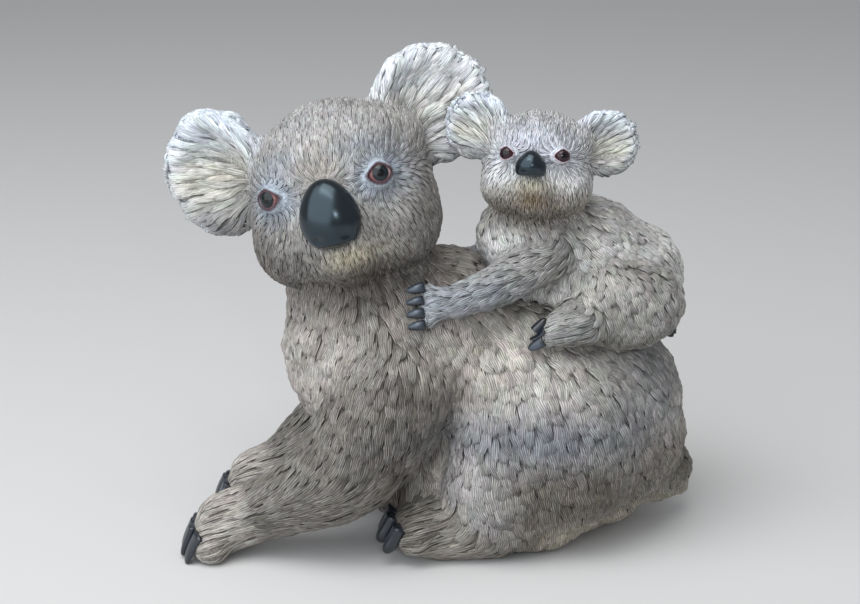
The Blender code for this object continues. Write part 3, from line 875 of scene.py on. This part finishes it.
def carve_coat(name, kinds, seed, keep=None, slot="coat_paint", cut=None):
    """One piece: the locks on those kinds of body part, or on the faces that keep picks out of them."""
    owner, other = ("mother", "joey") if name.startswith("mother") else ("joey", "mother")
    skin = skins[owner]
    rng = np.random.default_rng(seed)
    node_kinds = np.array([kind_of(node) for node in skin["nodes"]])
    part_of_face = skin["parts"][skin["tris"][:, 0]]
    bare = skin["bare"][skin["tris"]].min(axis=1)
    centres = skin["points"][skin["tris"]].mean(axis=1)
    clear_of_lids, clear_of_floor = bare > 1.30, centres[:, 2] > 0.0012
    batches = []
    for kind in kinds:
        wanted = (node_kinds[part_of_face] == kind) & clear_of_lids & clear_of_floor
        if keep is not None:
            wanted &= keep(centres)
        shape, rows = lock_kinds[kind]
        shape = cut or shape
        places, faces = seeds_on(skin, wanted, rng)
        normals = skin["normals"][skin["tris"][faces]].mean(axis=1)
        seen = ~hidden(places, normals, skins[other])
        places, faces = places[seen], faces[seen]
        width = lock_size(owner, kind, "wide") * shape.get("wide", 1)
        strands = max(2, round(width / lock_size(owner, kind, "strand")))
        batches.append(lock_meshes(skin, places, faces, strands, rows, shape, rng))
    lock_object(name, batches, slot)


def left_of_face(at):
    return on_axes(face_axes["mother"], at)[:, 0] >= 0


carve_coat("mother_coat_face_left", ["head"], 31, left_of_face)
carve_coat("mother_coat_face_right", ["head"], 12, lambda at: ~left_of_face(at))
carve_coat("mother_coat_ears", ["ear"], 13, slot="ear_paint")
carve_coat("mother_coat_fore_trunk", ["trunk"], 14, lambda at: at[:, 1] < 0.02)
carve_coat("mother_coat_hind_trunk", ["trunk", "tail"], 15, lambda at: at[:, 1] >= 0.02)
carve_coat("mother_coat_haunches", ["haunch"], 16)
carve_coat("mother_coat_upper_arms", ["foreleg"], 17, lambda at: at[:, 2] >= 0.07)
carve_coat("mother_coat_forearms", ["foreleg"], 27, lambda at: at[:, 2] < 0.07, cut=long_groove)
carve_coat("mother_coat_forepaws", ["forepaw"], 18, cut=long_groove)
carve_coat("mother_coat_hindfeet", ["hindfoot"], 19, cut=long_groove)
carve_coat("joey_coat_head", ["head"], 21)
carve_coat("joey_coat_ears", ["ear"], 22, slot="ear_paint")
carve_coat("joey_coat_trunk", ["trunk"], 23)
carve_coat("joey_coat_haunches", ["haunch"], 25)
carve_coat("joey_coat_limbs", ["foreleg", "forepaw", "hindfoot"], 24)

# -------- the eyes
# Each eye is a ball of resin that sits between the carved lids. It is painted by hand and varnished: a
# black pupil, a dark slate iris, a pinkish white and a red-brown inner corner on the mother, and nearly all
# dark on the joey.

varnish = plain_paint("eye_varnish", {
    "Roughness": 0.10, "Specular IOR Level": 0.30, "Coat Weight": 0.25, "Coat Roughness": 0.04,
}, marked=True)
for eye in eyes["mother"] + eyes["joey"]:
    bm = bmesh.new()
    bmesh.ops.create_uvsphere(bm, u_segments=72, v_segments=56, radius=eye["radius"])
    gaze = Vector((eye["side"] * eye["gaze_out"], -1.0, eye["gaze_up"])).normalized()
    turned = eye["axes"].to_3x3() @ gaze
    bmesh.ops.rotate(bm, verts=bm.verts, matrix=turned.to_track_quat("Z", "Y").to_matrix())
    mesh = bpy.data.meshes.new(eye["node"] + "_ball")
    bm.to_mesh(mesh)
    bm.free()
    points = read(mesh.vertices, "co")
    off = np.degrees(np.arccos(np.clip(points @ np.array(turned) / eye["radius"], -1, 1)))
    colours = np.zeros_like(points) + paint(eye["white"])
    for start, end, shade in eye["rings"]:
        colours = airbrush(colours, smooth_step(start, end, off), shade)
    world = points + eye["centre"]
    u, _, _, q, _ = eye_opening(eye, world)
    inner = smooth_step(0.25, 0.75, u / eye["half_width"])
    around = smooth_step(33, 38, off)
    colours = airbrush(colours, 0.75 * around * inner, eye["corner"])
    colours = airbrush(colours, 0.90 * around * smooth_step(0.66, 0.98, q), eye["edge"])
    mesh.vertices.foreach_set("co", world.ravel())
    mesh.update()
    give(mesh, "marking", "FLOAT_COLOR", colours)
    placed(eye["node"] + "_ball", mesh, varnish, "eye_gloss", eye["node"])

# -------- the noses
# Each nose is a smooth egg cast in one with the face and painted gloss black. It is broad end down, and two
# nostrils are sunk low on it.

black = plain_paint("nose_gloss_black", {
    "Base Color": (0.004, 0.0045, 0.0055, 1), "Roughness": 0.23, "Specular IOR Level": 0.80,
    "Specular Tint": (0.62, 0.84, 1.0, 1),
})
for owner, centre, radii, nostril, taper, broad in (
    ("mother", (0.0014, -0.053, -0.0074), (0.018, 0.012, 0.021), 0.0032, 0.16, 0.0),
    ("joey", (-0.0013, -0.032, 0.0012), (0.0092, 0.0075, 0.0080), 0.0017, 0.30, 0.28),
):
    bm = bmesh.new()
    bmesh.ops.create_uvsphere(bm, u_segments=96, v_segments=64, radius=1)
    mesh = bpy.data.meshes.new(owner + "_nose_pad")
    bm.to_mesh(mesh)
    bm.free()
    points = read(mesh.vertices, "co")
    x, y, z = points.T
    narrow = 1 - taper * smooth_step(-0.4, 1.0, z) + broad * smooth_step(-0.2, -0.9, z)
    flat = np.where(z < -0.75, -0.75 + (z + 0.75) * 0.45, z)
    shaped = np.stack([x * narrow, y * (1 - 0.08 * z), flat], axis=1) * np.array(radii)
    for side in (-1, 1):
        hole = np.array([side * 0.46 * radii[0], -0.72 * radii[1], -0.58 * radii[2]])
        near = bump(shaped, hole, nostril * np.array([1.25, 1.6, 0.8]))
        shaped[:, 1] += 0.55 * nostril * near
        shaped[:, 2] += 0.15 * nostril * near
    axes = np.array(face_axes[owner])
    world = (shaped + np.array(centre)) @ axes[:3, :3].T + axes[:3, 3]
    mesh.vertices.foreach_set("co", world.ravel())
    mesh.update()
    placed(owner + "_nose_pad", mesh, black, "nose_gloss", owner + "_nose")

# -------- the claws
# Each claw is a curved horn cast in one with its toe and painted gloss slate. It is darker at the tip, and a
# painted highlight is streaked along one side of it.

slate = plain_paint("claw_gloss_slate", {
    "Roughness": 0.30, "Coat Weight": 0.3, "Coat Roughness": 0.15,
}, marked=True)


def horn(node):
    """A fine claw on the line and girth of its rough solid, bowed a little and narrowed to a blunt tip."""
    rough = np.unique(read(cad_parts[node].data.vertices, "co").round(6), axis=0)
    centre = rough.mean(axis=0)
    along = np.linalg.svd(rough - centre)[2][0]
    run = (rough - centre) @ along

    def girth_of(part):
        return np.linalg.norm(rough[part] - rough[part].mean(axis=0), axis=1).max() if part.any() else 0.0

    span = run.max() - run.min()
    if girth_of(run < run.min() + 0.25 * span) < girth_of(run > run.max() - 0.25 * span):
        along, run = -along, -run
    share = (run - run.min()) / span
    root, point = rough[share < 0.3].mean(axis=0), rough[share.argmax()]
    root = root - along * ((root - rough[share.argmin()]) @ along)
    line = unit(point - root)
    aside = rough - root - np.outer((rough - root) @ line, line)
    belly = (share > 0.3) & (share < 0.9)
    bow = aside[belly].mean(axis=0) / math.sin(math.pi * share[belly].mean()) if belly.any() else np.zeros(3)
    sides, rings = 20, 18
    stout, deep, blunt = (1.45, 1.5, 4) if "mother" in node else (1.1, 1.0, 2.2)
    across = unit(np.cross(line, bow if np.linalg.norm(bow) > 1e-5 else [0.0, 0.3, 1.0]))
    upright = np.cross(across, line)
    base = share < 0.45
    wide = np.abs(aside[base] @ across).max() * stout
    tall = np.abs((aside[base] - aside[base].mean(axis=0)) @ upright).max() * deep
    points = []
    for ring in range(rings + 1):
        t = ring / rings
        taper = max(math.sqrt(max(1 - t**blunt, 0)), 0.05)
        spot = root * (1 - t) + point * t + bow * math.sin(math.pi * t)
        for side in range(sides):
            angle = 2 * math.pi * side / sides
            points.append(spot + (across * math.cos(angle) * wide + upright * math.sin(angle) * tall) * taper)
    faces = []
    for ring in range(rings):
        for side in range(sides):
            a, b = ring * sides + side, ring * sides + (side + 1) % sides
            faces.append((a, b, b + sides, a + sides))
    faces.append(tuple(range(sides - 1, -1, -1)))
    faces.append(tuple(rings * sides + side for side in range(sides)))
    mesh = bpy.data.meshes.new(node + "_horn")
    mesh.from_pydata([tuple(p) for p in points], [], faces)
    bm = bmesh.new()
    bm.from_mesh(mesh)
    bmesh.ops.recalc_face_normals(bm, faces=bm.faces)
    bm.to_mesh(mesh)
    bm.free()
    t = np.repeat(np.linspace(0, 1, rings + 1), sides)
    colours = np.zeros((len(points), 3)) + paint("1d242d")
    colours = airbrush(colours, smooth_step(0.5, 1.0, t), "0c0f13")
    round_it = np.linspace(0, 2 * math.pi, sides, endpoint=False)
    # Painted highlight: a paler streak along one side of the claw.
    hair_streak_and_painted_claw_highlight = np.tile(np.maximum(np.cos(round_it - 1.2), 0) ** 3, rings + 1)
    colours = airbrush(colours, 0.5 * hair_streak_and_painted_claw_highlight * smooth_step(0.05, 0.3, t), "5f6c7c")
    give(mesh, "marking", "FLOAT_COLOR", colours)
    placed(node + "_horn", mesh, slate, "claw_gloss", node)


for node in sorted(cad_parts):
    if "_claw_" in node:
        horn(node)

# -------- the studio
# A plain pale floor under a soft sky. One soft lamp hangs overhead, a large one stands at the front left,
# and a small one gives glints.

floor_mesh = bpy.data.meshes.new("studio_floor")
reach = 6.0
corners = [(-reach, -reach, 0), (reach, -reach, 0), (reach, reach, 0), (-reach, reach, 0)]
floor_mesh.from_pydata(corners, [], [(0, 1, 2, 3)])
floor = bpy.data.objects.new("studio_floor", floor_mesh)
bpy.context.scene.collection.objects.link(floor)
pale = plain_paint("pale_floor", {"Base Color": (0.66, 0.66, 0.66, 1), "Roughness": 0.9})
floor_mesh.materials.append(pale)

world = bpy.data.worlds.new("studio_sky")
bpy.context.scene.world = world
world.use_nodes = True
sky = world.node_tree.nodes["Background"]
sky.inputs["Color"].default_value = (0.95, 0.97, 1.0, 1)
sky.inputs["Strength"].default_value = 0.36


def soft_light(name, place, aim, power, width, colour):
    data = bpy.data.lights.new(name, "AREA")
    data.energy, data.size, data.color = power, width, colour
    lamp = bpy.data.objects.new(name, data)
    lamp.location = place
    lamp.rotation_euler = (Vector(aim) - Vector(place)).to_track_quat("-Z", "Y").to_euler()
    bpy.context.scene.collection.objects.link(lamp)


soft_light("overhead", (0.5, -0.3, 1.9), (0, 0, 0.15), 17, 1.3, (1.0, 0.98, 0.95))
soft_light("small_glint", (1.25, -0.05, 0.62), (0, 0, 0.2), 1.2, 0.04, (1.0, 1.0, 1.0))
soft_light("front_left", (1.0, -1.15, 1.15), (0, 0, 0.15), 38, 2.6, (0.92, 0.96, 1.0))

# Seen from its left side, from a little ahead and above, with both heads turned to the viewer.
aim = Vector((0.0096, -0.0058, 0.1484))
azimuth, elevation, distance = math.radians(84), math.radians(17), 1.15
level = math.cos(elevation)
back = Vector((math.sin(azimuth) * level, -math.cos(azimuth) * level, math.sin(elevation)))
lens = bpy.data.cameras.new("viewer")
lens.sensor_width = 36.0
lens.lens = 80.25
lens.clip_start, lens.clip_end = 0.05, 50
viewer = bpy.data.objects.new("viewer", lens)
viewer.location = aim + back * distance
viewer.rotation_mode = "QUATERNION"
viewer.rotation_quaternion = (-back).to_track_quat("-Z", "Y")
bpy.context.scene.collection.objects.link(viewer)
bpy.context.scene.camera = viewer
bpy.context.scene.view_settings.view_transform = "Standard"
